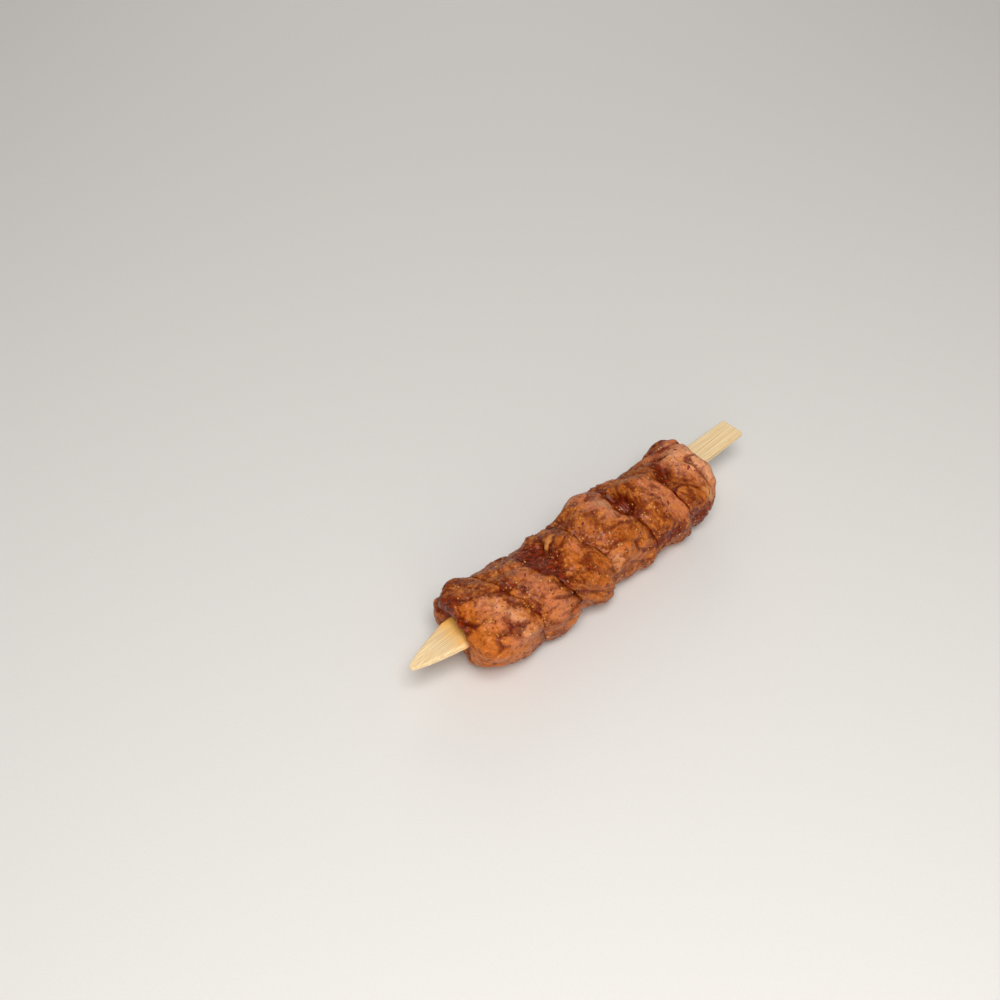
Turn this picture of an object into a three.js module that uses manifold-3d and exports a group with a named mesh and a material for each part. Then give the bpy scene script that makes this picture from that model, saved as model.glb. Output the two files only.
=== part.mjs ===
// A raw, marinated lamb kebab: six chunks of lamb, pushed close together on a flat wooden skewer, lying on
// its side on a flat surface. Millimetres, +Z up. X runs along the skewer, from its point (-X) to its square
// end (+X), and the surface that it lies on is z = 0.
import * as THREE from "three";
import { mergeVertices } from "three/addons/utils/BufferGeometryUtils.js";
import Module from "manifold-3d";

// ---- Driving dimensions ------------------------------------------------------------------------------

const SKEWER = {
  length: 200,
  shoulderFromTip: 24, // where the point has grown to its full width
  shoulderWidth: 15.6,
  endWidth: 11.4,
  thickness: 3,
  tipWidth: 1.6,
  tipThickness: 1.6,
  pointFullness: 0.75, // below 1, the sides of the point bulge outwards
  easedEdge: 0.5,
  pointSteps: 12,
  shaftSteps: 8,
};
const SKEWER_HEIGHT = 23; // of the skewer's centreline above the surface
const SEAM_GAP = 0.4; // between neighbouring chunks
const SLOT_CLEARANCE = 0.3; // between the skewer and the meat all round

// A seam is the face where two chunks press on each other, or the free end of the outermost one. It crosses
// the skewer at x = at, leans by so many mm for each mm of y and z, and is hollowed by cup round the skewer.
// All of them wave a little, each in its own direction. Where a seam is flush, its two chunks share the mean
// of their outlines: 1 is wholly so, and 0 leaves a step.
const SEAMS = [
  { at: -76, leanY: 0.18, leanZ: -0.25, cup: 5, flush: 0 },
  { at: -51, leanY: -0.25, leanZ: -0.22, cup: 0, flush: 1 },
  { at: -30.5, leanY: -0.2, leanZ: -0.3, cup: 0, flush: 0.4 },
  { at: -8, leanY: -0.2, leanZ: -0.3, cup: 0, flush: 0.9 },
  { at: 18.5, leanY: -0.2, leanZ: -0.26, cup: 0, flush: 0.7 },
  { at: 39, leanY: -0.25, leanZ: -0.25, cup: 0, flush: 0.7 },
  { at: 66, leanY: 0.02, leanZ: -0.05, cup: -2, flush: 0 },
];
const CUP_RADIUS = 9;
const SEAM_WAVE = { height: 0.9, length: 24 };

// A chunk fills the space between its two seams. Its cross-section is a rounded square of the given half
// width and half height, rolled about X, and shifted from the skewer by offset (y, z). Squareness is the
// exponent of that section. Fullness is the exponent of its profile towards each seam: the higher it is, the
// sharper the shoulder. Grain is the direction across the muscle fibres. Swells are bumps and creases: turn
// is the place round the skewer in degrees, from +Y over +Z, sweep the place along X from -1 to 1, rise the
// height in mm, wide and long the reach in degrees and in sweep, and slant turns the bump in that plane, in
// radians. Crisp is 1 for a bell curve, and more for a recess with a flat bottom and steep walls.
const CHUNKS = [
  {
    halfWidth: 21.5, halfHeight: 19.5, offset: [-1.5, -3], roll: 20, squareness: 2.6,
    fullness: [3.6, 16], grain: [0.5, 0.6, 0.6],
    swells: [
      { turn: 108, sweep: -0.6, rise: -4.5, wide: 10, long: 0.5, slant: 0.7 },
      { turn: 215, sweep: -0.85, rise: -6, wide: 32, long: 0.55 },
      { turn: 42, sweep: -0.85, rise: -3.5, wide: 28, long: 0.5 },
      { turn: 165, sweep: 0.9, rise: 1.5, wide: 35, long: 0.4 },
    ],
  },
  {
    halfWidth: 20.5, halfHeight: 20, offset: [-3.5, -3.5], roll: -15, squareness: 2.6,
    fullness: [16, 9], grain: [0.2, 0.9, 0.3],
    swells: [
      { turn: 38, sweep: 0, rise: -3, wide: 35, long: 0.9 },
      { turn: 195, sweep: -0.9, rise: -1, wide: 30, long: 0.4 },
    ],
  },
  {
    halfWidth: 20.5, halfHeight: 19.5, offset: [-3, -4], roll: 35, squareness: 2.5,
    fullness: [9, 14], grain: [0.7, 0.1, 0.7],
    swells: [
      { turn: 83, sweep: -0.4, rise: -7.5, wide: 38, long: 0.5, slant: -1.06, crisp: 2 },
      { turn: 112, sweep: 0.35, rise: 1.5, wide: 35, long: 0.3, slant: -1.06 },
      { turn: 208, sweep: 0.3, rise: 2, wide: 18, long: 0.45 },
      { turn: 208, sweep: -0.9, rise: -2, wide: 25, long: 0.3 },
      { turn: 35, sweep: -0.5, rise: -4, wide: 25, long: 0.7 },
    ],
  },
  {
    halfWidth: 20, halfHeight: 20, offset: [-2.5, -3], roll: 5, squareness: 2.7,
    fullness: [14, 9], grain: [0.1, 0.7, 0.7],
    swells: [
      { turn: 110, sweep: -0.1, rise: 1.5, wide: 40, long: 0.6 },
      { turn: 110, sweep: 1.05, rise: -5, wide: 22, long: 0.3 },
      { turn: 208, sweep: 0.5, rise: 1.5, wide: 20, long: 0.4 },
      { turn: 208, sweep: -0.9, rise: -2, wide: 25, long: 0.35 },
      { turn: 35, sweep: -0.6, rise: -5, wide: 25, long: 0.4 },
    ],
  },
  {
    halfWidth: 20, halfHeight: 19.5, offset: [-3, -4], roll: 40, squareness: 2.4,
    fullness: [9, 12], grain: [0.6, 0.5, -0.6],
    swells: [
      { turn: 95, sweep: -0.85, rise: -7.5, wide: 36, long: 0.42, slant: -0.84, crisp: 2 },
      { turn: 110, sweep: 0.1, rise: 1, wide: 35, long: 0.3, slant: -0.84 },
      { turn: 206, sweep: 0.7, rise: 2.5, wide: 25, long: 0.5 },
      { turn: 205, sweep: -1, rise: -1.5, wide: 25, long: 0.35 },
      { turn: 45, sweep: 0.3, rise: -2, wide: 30, long: 0.9 },
    ],
  },
  {
    halfWidth: 20, halfHeight: 20, offset: [-3, -3.5], roll: 10, squareness: 2.5,
    fullness: [12, 4], grain: [0.3, 0.8, -0.4],
    swells: [
      { turn: 100, sweep: -0.5, rise: -5, wide: 32, long: 0.14, slant: -0.74 },
      { turn: 50, sweep: -0.4, rise: -4, wide: 32, long: 0.8 },
      { turn: 200, sweep: 0.6, rise: -2.5, wide: 35, long: 0.5 },
    ],
  },
];

// The seams between chunks are shallower at the -Y side, where the fullness is this many times what it is at
// the +Y side. Between them a chunk bulges by the pillow.
const SIDE_FULLNESS = 1.8;
const PILLOW = 1.4;
const FLUSH_POWER = 3; // how suddenly the outlines of two chunks meet near their seam

// Uneven relief of the meat: broad lumps in random directions, and wavy bundles of fibres across the grain.
const LUMPS = [
  { wavelength: 31, height: 0.9 },
  { wavelength: 23, height: 0.7 },
  { wavelength: 17, height: 0.5 },
  { wavelength: 12, height: 0.35 },
];
const BUNDLES = { spacing: 8.5, height: 0.45, wander: 1.2, wanderLength: 24 };

// Flakes of spice pressed into the skin, spread round each chunk by the golden angle. Half their length goes
// from smallest to largest, and aspect is their width over their length. Their middle is sunk below the skin.
// PitchSpread keeps them off the seams.
const FLAKES = {
  perChunk: 14,
  smallest: 0.8,
  largest: 1.4,
  aspect: 0.7,
  halfThickness: 0.7,
  sunk: 0.3,
  pitchSpread: 0.5,
  clearOfFloor: 3,
};
const FULL_TURN = 2 * Math.PI;
const GOLDEN_ANGLE = Math.PI * (3 - Math.sqrt(5));

// Facets of a chunk's skin, round the skewer and from one seam to the other.
// Pitch steps crowd towards the shoulders, where they are this share shorter than the even step.
const TURN_STEPS = 36;
const PITCH_STEPS = 20;
const CROWDING = 0.5;

// ---- Helpers -----------------------------------------------------------------------------------------

const radians = THREE.MathUtils.degToRad;
const { lerp } = THREE.MathUtils;

// A repeatable random number from 0 to 1 for a whole number and a seed: the fraction of a long, fast sine.
function chance(number, seed) {
  const wave = 43758.5453 * Math.sin(12.9898 * number + 78.233 * seed);
  return wave - Math.floor(wave);
}

// Radius at an angle of the rounded square with half sides of 1: exponent 2 gives a circle.
function superellipse(angle, exponent) {
  return (Math.abs(Math.cos(angle)) ** exponent + Math.abs(Math.sin(angle)) ** exponent) ** (-1 / exponent);
}

// A closed skin from rings of equal point counts, with a single point at each end.
function skinFromRings(firstPoint, rings, lastPoint) {
  const count = rings[0].length;
  const points = [firstPoint, ...rings.flat(), lastPoint];
  const last = points.length - 1;
  const faces = [];
  for (let i = 0; i < count; i++) {
    const next = (i + 1) % count;
    faces.push(0, 1 + next, 1 + i);
    for (let r = 0; r < rings.length - 1; r++) {
      const a = 1 + r * count;
      const b = a + count;
      faces.push(a + i, a + next, b + i, a + next, b + next, b + i);
    }
    const end = 1 + (rings.length - 1) * count;
    faces.push(end + i, end + next, last);
  }
  const geometry = new THREE.BufferGeometry();
  geometry.setAttribute("position", new THREE.Float32BufferAttribute(points.flat(), 3));
  geometry.setIndex(faces);
  return geometry;
}

// ---- Skewer ------------------------------------------------------------------------------------------

// Half width and half thickness of the skewer at x: a bulging point, then a slow taper to the square end.
function skewerSection(x) {
  const fromTip = x + SKEWER.length / 2;
  const point = Math.min(1, fromTip / SKEWER.shoulderFromTip);
  const shaft = Math.max(0, (fromTip - SKEWER.shoulderFromTip) / (SKEWER.length - SKEWER.shoulderFromTip));
  const full = lerp(SKEWER.shoulderWidth, SKEWER.endWidth, shaft);
  const width = lerp(SKEWER.tipWidth, full, point ** SKEWER.pointFullness);
  const thickness = lerp(SKEWER.tipThickness, SKEWER.thickness, Math.min(1, 2 * point));
  return [width / 2, thickness / 2];
}

// The skewer, with its edges eased, or the same form grown by margin, which cuts its slot in the meat.
function skewerGeometry(margin = 0) {
  const half = SKEWER.length / 2;
  const shoulder = -half + SKEWER.shoulderFromTip;
  const stations = [];
  for (let step = 0; step <= SKEWER.pointSteps; step++) {
    stations.push(lerp(-half, shoulder, (step / SKEWER.pointSteps) ** 1.5));
  }
  for (let step = 1; step <= SKEWER.shaftSteps; step++) {
    stations.push(lerp(shoulder, half, step / SKEWER.shaftSteps));
  }
  const ease = SKEWER.easedEdge;
  const rings = stations.map((x) => {
    const [w, t] = skewerSection(x).map((size) => size + margin);
    const corners = [[w, t - ease], [w - ease, t], [ease - w, t], [-w, t - ease]];
    return [...corners, ...corners.map(([y, z]) => [-y, -z])].map(([y, z]) => [x, y, z]);
  });
  return skinFromRings([-half - margin, 0, 0], rings, [half + margin, 0, 0]);
}

// ---- Lamb --------------------------------------------------------------------------------------------

function seamX(number, y, z) {
  const seam = SEAMS[number];
  const dimple = seam.cup * Math.exp(-(y * y + z * z) / (CUP_RADIUS * CUP_RADIUS));
  const across = y * Math.cos(number * GOLDEN_ANGLE) + z * Math.sin(number * GOLDEN_ANGLE);
  const wave = SEAM_WAVE.height * Math.sin((FULL_TURN * across) / SEAM_WAVE.length + number);
  return seam.at + seam.leanY * y + seam.leanZ * z + dimple + wave;
}

// Height in mm of all the chunk's swells at one place: each is a slanted bell curve or a crisp recess.
function swellHeight(chunk, turn, sweep) {
  let height = 0;
  for (const swell of chunk.swells) {
    const { slant = 0, crisp = 1 } = swell;
    const around = THREE.MathUtils.euclideanModulo(turn - radians(swell.turn) + Math.PI, FULL_TURN) - Math.PI;
    const along = sweep - swell.sweep;
    const a = (around * Math.cos(slant) + along * Math.sin(slant)) / radians(swell.wide);
    const b = (along * Math.cos(slant) - around * Math.sin(slant)) / swell.long;
    height += swell.rise * Math.exp(-((a * a + b * b) ** crisp) / 2);
  }
  return height;
}

// Height in mm of the lumps and fibre bundles at a point of chunk number index.
function reliefHeight(index, x, y, z) {
  let height = 0;
  LUMPS.forEach((lump, k) => {
    const dirX = 2 * chance(3 * k, index) - 1;
    const flat = Math.sqrt(1 - dirX * dirX);
    const turn = FULL_TURN * chance(3 * k + 1, index);
    const along = x * dirX + y * flat * Math.cos(turn) + z * flat * Math.sin(turn);
    height += lump.height * Math.sin(FULL_TURN * (along / lump.wavelength + chance(3 * k + 2, index)));
  });
  const [gx, gy, gz] = CHUNKS[index].grain;
  const wander = BUNDLES.wander * Math.sin((FULL_TURN * (x + y - z)) / BUNDLES.wanderLength + index);
  const across = (gx * x + gy * y + gz * z) / Math.hypot(gx, gy, gz) + wander;
  return height + BUNDLES.height * Math.sin((FULL_TURN * across) / BUNDLES.spacing);
}

// Y and z of a chunk's outline at full reach: its rounded square with all its relief.
function outline(index, turn, sweep, x) {
  const chunk = CHUNKS[index];
  const section = superellipse(turn - radians(chunk.roll), chunk.squareness);
  const y = chunk.offset[0] + section * chunk.halfWidth * Math.cos(turn);
  const z = chunk.offset[1] + section * chunk.halfHeight * Math.sin(turn);
  const relief = swellHeight(chunk, turn, sweep) + reliefHeight(index, x, y, z);
  return [y + relief * Math.cos(turn), z + relief * Math.sin(turn)];
}

// One point of a chunk's skin. Turn goes round the skewer, and pitch from the pole at its -X seam (0) to the
// pole at its +X seam (pi). Sweep is the share of the way along X, and reach that of the way out from X.
function chunkPoint(index, turn, pitch) {
  const end = pitch < Math.PI / 2 ? 0 : 1;
  const neighbour = end === 0 ? index - 1 : index + 1;
  const isShared = neighbour in CHUNKS;
  const sideFullness = isShared ? lerp(1, SIDE_FULLNESS, (1 - Math.cos(turn)) / 2) : 1;
  const profile = superellipse(pitch, CHUNKS[index].fullness[end] * sideFullness);
  const sweep = -profile * Math.cos(pitch);
  const reach = profile * Math.sin(pitch);
  const share = (sweep + 1) / 2;
  const middleX = lerp(SEAMS[index].at, SEAMS[index + 1].at, share);

  let [y, z] = outline(index, turn, sweep, middleX);
  if (isShared) {
    const [otherY, otherZ] = outline(neighbour, turn, 1 - 2 * end, middleX);
    const flush = (SEAMS[index + end].flush / 2) * Math.abs(sweep) ** FLUSH_POWER;
    y = lerp(y, otherY, flush) - PILLOW * sweep * sweep * Math.cos(turn);
    z = lerp(z, otherZ, flush) - PILLOW * sweep * sweep * Math.sin(turn);
  }
  y *= reach;
  z = Math.max(z * reach, -SKEWER_HEIGHT);
  const from = seamX(index, y, z) + SEAM_GAP / 2;
  const to = seamX(index + 1, y, z) - SEAM_GAP / 2;
  return [lerp(from, to, share), y, z];
}

function chunkGeometry(index) {
  const rings = [];
  for (let step = 1; step < PITCH_STEPS; step++) {
    const even = (Math.PI * step) / PITCH_STEPS;
    const pitch = even + (CROWDING * Math.sin(4 * even)) / 4;
    const ring = [];
    for (let i = 0; i < TURN_STEPS; i++) ring.push(chunkPoint(index, (FULL_TURN * i) / TURN_STEPS, pitch));
    rings.push(ring);
  }
  return skinFromRings(chunkPoint(index, 0, 0), rings, chunkPoint(index, 0, Math.PI));
}

// A flake of spice lying in the skin: a squashed icosahedron. There is none near the floor.
function flakeGeometry(index, number) {
  const seed = 100 + index;
  const turn = number * GOLDEN_ANGLE + FULL_TURN * chance(0, seed);
  const pitch = Math.PI / 2 + FLAKES.pitchSpread * (2 * chance(3 * number + 1, seed) - 1);
  const at = new THREE.Vector3(...chunkPoint(index, turn, pitch));
  if (at.z < FLAKES.clearOfFloor - SKEWER_HEIGHT) return null;

  const small = 0.01;
  const around = new THREE.Vector3(...chunkPoint(index, turn + small, pitch)).sub(at);
  const along = new THREE.Vector3(...chunkPoint(index, turn, pitch + small)).sub(at);
  const normal = new THREE.Vector3().crossVectors(around, along).normalize();
  const radius = lerp(FLAKES.smallest, FLAKES.largest, chance(3 * number + 2, seed));
  const place = new THREE.Matrix4().lookAt(normal, new THREE.Vector3(), along.normalize());
  place.setPosition(at.addScaledVector(normal, -FLAKES.sunk));
  return new THREE.IcosahedronGeometry(1, 0)
    .scale(radius, radius * FLAKES.aspect, FLAKES.halfThickness)
    .applyMatrix4(place);
}

// ---- Solids ------------------------------------------------------------------------------------------

const wasm = await Module();
wasm.setup();

function toSolid(geometry) {
  const bare = geometry.clone();
  bare.deleteAttribute("normal");
  bare.deleteAttribute("uv");
  const merged = mergeVertices(bare, 1e-4);
  return new wasm.Manifold(new wasm.Mesh({
    numProp: 3,
    vertProperties: new Float32Array(merged.getAttribute("position").array),
    triVerts: new Uint32Array(merged.index.array),
  }));
}

function toGeometry(solid) {
  const mesh = solid.getMesh();
  const geometry = new THREE.BufferGeometry();
  geometry.setAttribute("position", new THREE.BufferAttribute(mesh.vertProperties, 3));
  geometry.setIndex(new THREE.BufferAttribute(mesh.triVerts, 1));
  geometry.computeVertexNormals();
  return geometry;
}

// ---- Assembly ----------------------------------------------------------------------------------------

const wood = new THREE.MeshStandardMaterial({ color: 0xe6cf9f, roughness: 0.7, metalness: 0 });
const lamb = new THREE.MeshStandardMaterial({ color: 0xa5562b, roughness: 0.45, metalness: 0 });

const kebab = new THREE.Group();
kebab.position.z = SKEWER_HEIGHT;

const skewer = new THREE.Mesh(skewerGeometry(), wood);
skewer.name = "skewer";
kebab.add(skewer);

const slot = toSolid(skewerGeometry(SLOT_CLEARANCE));
CHUNKS.forEach((chunk, index) => {
  let solid = toSolid(chunkGeometry(index)).subtract(slot);
  for (let number = 0; number < FLAKES.perChunk; number++) {
    const flake = flakeGeometry(index, number);
    if (flake) solid = solid.add(toSolid(flake));
  }
  const meat = new THREE.Mesh(toGeometry(solid), lamb);
  meat.name = `lamb_${index + 1}`;
  kebab.add(meat);
});

// The part's origin is under the middle of the kebab, on the surface that it lies on.
const part = new THREE.Group();
part.add(kebab);
part.updateMatrixWorld(true);
const middle = new THREE.Box3().setFromObject(kebab, true).getCenter(new THREE.Vector3());
kebab.position.x -= middle.x;
kebab.position.y -= middle.y;

export default part;
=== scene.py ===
# %% [markdown]
# # A raw lamb kebab on a flat bamboo skewer
# Six uneven cubes of lamb, coated in a paprika and oil marinade, are pressed together on a flat skewer. The
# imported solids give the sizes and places. This script gives them their looks. Every visible surface is worked
# out with numpy as a function of two parameters on a grid, in millimetres from the middle of the skewer, and
# is turned into metres only when it becomes a mesh. Other ways would be sculpting by hand, which can't be
# repeated, or a displacement modifier on a cube, which gives no control over where a crease falls.

# %% Load the fixed frame
import math

import bpy
import numpy as np
from mathutils import Matrix, Vector


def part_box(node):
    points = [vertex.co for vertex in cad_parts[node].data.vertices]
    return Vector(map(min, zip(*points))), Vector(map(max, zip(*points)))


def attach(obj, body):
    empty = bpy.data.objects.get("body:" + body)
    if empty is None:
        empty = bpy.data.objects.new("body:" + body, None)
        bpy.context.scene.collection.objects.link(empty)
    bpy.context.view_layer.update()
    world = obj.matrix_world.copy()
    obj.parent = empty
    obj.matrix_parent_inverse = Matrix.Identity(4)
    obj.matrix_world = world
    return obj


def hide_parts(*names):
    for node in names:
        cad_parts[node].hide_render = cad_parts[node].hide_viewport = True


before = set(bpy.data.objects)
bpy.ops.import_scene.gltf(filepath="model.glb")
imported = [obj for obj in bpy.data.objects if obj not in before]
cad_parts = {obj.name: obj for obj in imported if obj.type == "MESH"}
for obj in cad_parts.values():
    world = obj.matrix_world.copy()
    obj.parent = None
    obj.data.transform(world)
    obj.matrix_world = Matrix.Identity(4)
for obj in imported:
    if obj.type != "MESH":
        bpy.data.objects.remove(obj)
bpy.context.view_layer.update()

MM = 0.001
FULL_TURN = 2 * np.pi
GOLDEN_ANGLE = np.pi * (3 - math.sqrt(5))
skewer_low, skewer_high = (np.array(corner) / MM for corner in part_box("skewer"))
SKEWER_MIDDLE = (skewer_low + skewer_high) / 2
FLOOR_Z = -SKEWER_MIDDLE[2]
print("nodes:", sorted(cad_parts), "skewer middle in mm:", SKEWER_MIDDLE.round(2))

# %% [markdown]
# ## Randomness that repeats
# Meat is uneven everywhere, but the script has to give the same kebab each time. Two sources are used. The
# first is a random number for a whole number and a seed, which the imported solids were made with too. The
# second is gradient noise: every corner of a lattice gets a random slope, and the slopes are blended in
# between. It gives smooth, natural unevenness at any size, and works on whole arrays of points.

# %% Random numbers and gradient noise
random_table = np.random.default_rng(7)
SLOPES = random_table.normal(size=(256, 3))
SLOPES /= np.linalg.norm(SLOPES, axis=1, keepdims=True)
SHUFFLED = random_table.permutation(256)
SEED_STRIDE = 37  # lattice cells between the noises of two seeds
NOISE_GAIN = 1.6  # brings the blended slopes to about -1 to 1


def chance(number, seed):
    """A number from 0 to 1: the fraction of 43758.5453 sin(12.9898 number + 78.233 seed)."""
    wave = 43758.5453 * np.sin(12.9898 * number + 78.233 * seed)
    return wave - np.floor(wave)


def noise(points, seed=0):
    """Gradient noise from about -1 to 1: at each of the eight lattice corners round a point, the corner's
    slope times the way from it, summed with weights 6s^5 - 15s^4 + 10s^3."""
    cell = np.floor(points).astype(int)
    offset = points - cell
    fade = offset**3 * (offset * (offset * 6 - 15) + 10)
    total = 0
    for corner in np.ndindex(2, 2, 2):
        x, y, z = np.moveaxis((cell + corner + SEED_STRIDE * seed) & 255, -1, 0)
        slope = SLOPES[SHUFFLED[(SHUFFLED[(SHUFFLED[x] + y) & 255] + z) & 255]]
        weight = np.where(corner, fade, 1 - fade).prod(-1)
        total = total + weight * ((offset - corner) * slope).sum(-1)
    return NOISE_GAIN * total


print("noise at one point:", round(float(noise(np.array([1.3, 2.6, 3.1]))), 4))

# %% [markdown]
# ## Closed skins
# Each piece is a closed skin, made of rings of points. A ring is joined to the next one by four-sided faces.
# A skin is closed by a fan of triangles at each end, or its last ring joins the first one, as on a chunk of
# meat with a tunnel through it. Faces run so that they point outwards when the rings advance along +X and
# their points turn from +Y to +Z.

# %% Mesh helpers
def ring_faces(rings, points_per_ring, tunnel):
    """Corner numbers of the faces between each ring and the next one. Round a tunnel, the last ring is joined
    to the first one too."""
    first = np.arange(rings if tunnel else rings - 1)[:, None] * points_per_ring
    second = (first + points_per_ring) % (rings * points_per_ring)
    here = np.arange(points_per_ring)[None, :]
    after = (here + 1) % points_per_ring
    corners = [first + here, first + after, second + after, second + here]
    return np.stack(corners, axis=-1).reshape(-1, 4).tolist()


def capped(rings):
    """Points and faces of a skin of rings x points x 3 with a fan at each end. The two middles come last."""
    count, around, _ = rings.shape
    points = np.vstack([rings.reshape(-1, 3), rings[0].mean(0), rings[-1].mean(0)])
    faces = ring_faces(count, around, tunnel=False)
    last = (count - 1) * around
    for i in range(around):
        after = (i + 1) % around
        faces.append([count * around, after, i])
        faces.append([last + i, last + after, count * around + 1])
    return points, faces


def add_object(name, data):
    """A new object in the scene."""
    made = bpy.data.objects.new(name, data)
    bpy.context.scene.collection.objects.link(made)
    return made


def add_mesh(name, points, faces):
    """A smooth mesh piece from points in mm round the middle of the skewer, with its object at the origin."""
    mesh = bpy.data.meshes.new(name)
    places = (points.reshape(-1, 3) + SKEWER_MIDDLE) * MM
    mesh.from_pydata(places.tolist(), [], faces)
    mesh.shade_smooth()
    piece = add_object(name, mesh)
    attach(piece, "root")
    return piece


def lerp(start, end, share):
    """The value that is this share of the way from start to end."""
    return start + (end - start) * share


def superellipse(angle, exponent):
    """Radius at an angle of the rounded square with half sides of 1: (|cos|^e + |sin|^e)^(-1/e)."""
    return (np.abs(np.cos(angle)) ** exponent + np.abs(np.sin(angle)) ** exponent) ** (-1 / exponent)


def unit(vectors):
    """The same directions with a length of 1."""
    return vectors / np.maximum(np.linalg.norm(vectors, axis=-1, keepdims=True), 1e-12)


print("faces between two rings of three:", ring_faces(2, 3, tunnel=False))

# %% [markdown]
# ## The skewer
# A flat bamboo paddle: a leaf-shaped point, a slow taper, a square cut end, and edges that were tumbled
# smooth. It could stay a plain extruded outline, but bamboo shows long ridges where its fibres run, so here
# a rounded rectangle is carried along the axis, and a little ridge height is added along the grain.

# %% Sizes and shape of the skewer
SKEWER = dict(
    length=200, shoulder_from_tip=24, shoulder_width=15.6, end_width=11.4, thickness=3,
    tip_width=1.6, tip_thickness=1.6, point_fullness=0.75, squareness=9, end_rounding=0.5,
)
RIDGE = dict(spacing=0.55, along=34, height=0.035)


def skewer_section(x):
    """Half width and half thickness at x: a bulging point, then a straight taper. The thickness is full from
    half way along the point."""
    from_tip = x + SKEWER["length"] / 2
    point = np.clip(from_tip / SKEWER["shoulder_from_tip"], 0, 1)
    shaft_length = SKEWER["length"] - SKEWER["shoulder_from_tip"]
    shaft = np.clip((from_tip - SKEWER["shoulder_from_tip"]) / shaft_length, 0, 1)
    full = lerp(SKEWER["shoulder_width"], SKEWER["end_width"], shaft)
    width = lerp(SKEWER["tip_width"], full, point ** SKEWER["point_fullness"])
    thickness = lerp(SKEWER["tip_thickness"], SKEWER["thickness"], np.clip(2 * point, 0, 1))
    return width / 2, thickness / 2


def skewer_rings(stations=420, around=72, crowding=1.25, end_stations=7):
    """A rounded rectangle at each station along X. Stations crowd towards the tip, and both ends are eased by
    shrinking the section over the last half millimetre along a quarter circle."""
    half = SKEWER["length"] / 2
    ease = SKEWER["end_rounding"]
    x = SKEWER["length"] * np.linspace(0, 1, stations) ** crowding - half
    from_end = ease * np.linspace(0.02, 1, end_stations)
    x = np.sort(np.concatenate([x, half - from_end, from_end - half]))
    to_end = np.minimum(half - np.abs(x), ease) / ease
    shrink = ease * (1 - np.sqrt(1 - (1 - to_end) ** 2))
    half_width, half_thickness = (size - shrink for size in skewer_section(x))
    turn = np.linspace(0, FULL_TURN, around, endpoint=False)
    rounded = superellipse(turn, SKEWER["squareness"])
    y = half_width[:, None] * rounded * np.cos(turn)
    z = half_thickness[:, None] * rounded * np.sin(turn)
    rings = np.stack([np.broadcast_to(x[:, None], y.shape), y, z], axis=-1)
    along_grain = rings / [RIDGE["along"], RIDGE["spacing"], RIDGE["spacing"]]
    outward = np.stack([np.zeros_like(y), np.cos(turn) + 0 * y, np.sin(turn) + 0 * y], axis=-1)
    return rings + outward * RIDGE["height"] * noise(along_grain)[..., None]


skewer = add_mesh("bamboo_skewer", *capped(skewer_rings()))
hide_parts("skewer")
print("skewer faces:", len(skewer.data.polygons))

# %% [markdown]
# ## The form of the meat
# The cubes were squeezed together by hand, so each pair shares one leaning face, a seam. A chunk fills the
# space between two seams: its cross-section is a rolled, rounded square, and its profile along the skewer
# says how sharp the shoulders at the seams are. Swells are the bumps, creases and recesses. The packed
# solids have the same formulas and sizes, so the fine skin keeps their form. Only here are a narrower gap,
# frayed seams, sharper shoulders with a soft groove, and a deeper hollow where the point comes out.

# %% Seams, in mm
SEAM_GAP = 0.06
SEAMS = [
    dict(at=-76, lean_y=0.18, lean_z=-0.25, cup=7.5, flush=0),
    dict(at=-51, lean_y=-0.25, lean_z=-0.22, cup=0, flush=1),
    dict(at=-30.5, lean_y=-0.2, lean_z=-0.3, cup=0, flush=0.4),
    dict(at=-8, lean_y=-0.2, lean_z=-0.3, cup=0, flush=0.9),
    dict(at=18.5, lean_y=-0.2, lean_z=-0.26, cup=0, flush=0.7),
    dict(at=39, lean_y=-0.25, lean_z=-0.25, cup=0, flush=0.7),
    dict(at=66, lean_y=0.02, lean_z=-0.05, cup=-2, flush=0),
]
CUP_RADIUS = 9
SEAM_WAVE = dict(height=0.9, length=24)
SEAM_FRAY = dict(height=1.1, size=5.5)


def seam_x(number, y, z):
    """Where a seam crosses x: its place at the skewer, plus its leans, a bell-shaped hollow, a slow wave and
    frayed noise."""
    seam = SEAMS[number]
    dimple = seam["cup"] * np.exp(-(y * y + z * z) / CUP_RADIUS**2)
    across = y * math.cos(number * GOLDEN_ANGLE) + z * math.sin(number * GOLDEN_ANGLE)
    wave = SEAM_WAVE["height"] * np.sin(FULL_TURN * across / SEAM_WAVE["length"] + number)
    wave = wave + SEAM_FRAY["height"] * noise(np.stack([y, z, number + 0 * y], -1) / SEAM_FRAY["size"])
    return seam["at"] + seam["lean_y"] * y + seam["lean_z"] * z + dimple + wave


print("seams at the skewer, in mm:", [seam["at"] for seam in SEAMS])

# %% The chunks and their swells
def spot(turn, sweep, wide, long, **more):
    """A place on a chunk's skin: its turn in degrees, its sweep from one seam (-1) to the other (1), and its
    reach each way, wide in degrees and long in sweep. More is how high or strong it is, its slant in radians
    and how crisp its edge is."""
    return dict(turn=turn, sweep=sweep, wide=wide, long=long, **more)


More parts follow.
